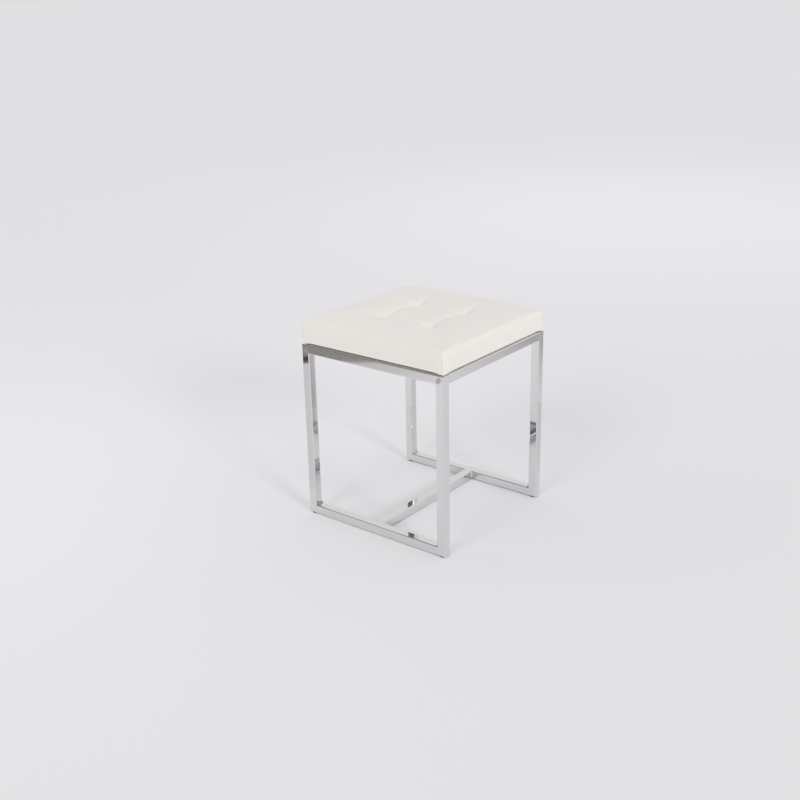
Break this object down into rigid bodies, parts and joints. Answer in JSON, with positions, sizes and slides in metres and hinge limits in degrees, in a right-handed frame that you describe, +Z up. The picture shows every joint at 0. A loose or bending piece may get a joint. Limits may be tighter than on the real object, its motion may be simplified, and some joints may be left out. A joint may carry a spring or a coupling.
{
  "type": "shoe fitting stool",
  "caption": "Square shop stool for trying on shoes: tufted leatherette pad on a chromed square-tube frame with an H-shaped base and levelling glides.",
  "frame": {"origin": "on the floor, under the middle of the seat", "axes": "+Z up; -Y is the front, the side with a base rail that the picture shows on the left; +X is the open side with no base rail that the picture shows on the right"},
  "size_m": [0.385, 0.385, 0.463],
  "materials": {
    "chrome_tube": "bright chrome plate over polished mild steel tube",
    "zinc_steel": "zinc-plated steel fasteners",
    "black_nylon": "moulded nylon, black, matt",
    "plywood": "sanded plywood",
    "foam": "open-cell polyurethane foam",
    "wadding": "polyester wadding",
    "leatherette": "off-white grained leatherette, satin",
    "twine": "waxed nylon twine",
    "fibreboard": "pressed fibre discs",
    "dust_cloth": "black non-woven dust cloth"
  },
  "bodies": {
    "frame_and_seat": {"leg_front_left": "chrome_tube", "leg_front_right": "chrome_tube", "leg_back_left": "chrome_tube", "leg_back_right": "chrome_tube", "base_rail_front": "chrome_tube", "base_rail_back": "chrome_tube", "base_stretcher": "chrome_tube", "top_rail_front": "chrome_tube", "top_rail_back": "chrome_tube", "top_rail_left": "chrome_tube", "top_rail_right": "chrome_tube", "corner_tab_front_left": "chrome_tube", "corner_tab_front_right": "chrome_tube", "corner_tab_back_left": "chrome_tube", "corner_tab_back_right": "chrome_tube", "glide_nuts": "zinc_steel", "seat_screws": "zinc_steel", "screw_washers": "zinc_steel", "tee_nuts": "zinc_steel", "seat_board": "plywood", "foam_block": "foam", "wadding": "wadding", "cover_top": "leatherette", "boxing_front": "leatherette", "boxing_back": "leatherette", "boxing_left": "leatherette", "boxing_right": "leatherette", "tuft_ties": "twine", "tie_anchors": "fibreboard", "dust_cover": "dust_cloth", "cover_staples": "zinc_steel", "dust_cover_staples": "zinc_steel"},
    "glide_front_left": {"glide_stud_front_left": "zinc_steel", "glide_foot_front_left": "black_nylon"},
    "glide_front_right": {"glide_stud_front_right": "zinc_steel", "glide_foot_front_right": "black_nylon"},
    "glide_back_left": {"glide_stud_back_left": "zinc_steel", "glide_foot_back_left": "black_nylon"},
    "glide_back_right": {"glide_stud_back_right": "zinc_steel", "glide_foot_back_right": "black_nylon"}
  },
  "joints": [
    {"name": "glide_front_left_travel", "type": "slide", "parent": "frame_and_seat", "child": "glide_front_left", "axis": [0, 0, -1], "range_m": [0, 0.006]},
    {"name": "glide_front_right_travel", "type": "slide", "parent": "frame_and_seat", "child": "glide_front_right", "axis": [0, 0, -1], "range_m": [0, 0.006]},
    {"name": "glide_back_left_travel", "type": "slide", "parent": "frame_and_seat", "child": "glide_back_left", "axis": [0, 0, -1], "range_m": [0, 0.006]},
    {"name": "glide_back_right_travel", "type": "slide", "parent": "frame_and_seat", "child": "glide_back_right", "axis": [0, 0, -1], "range_m": [0, 0.006]}
  ]
}
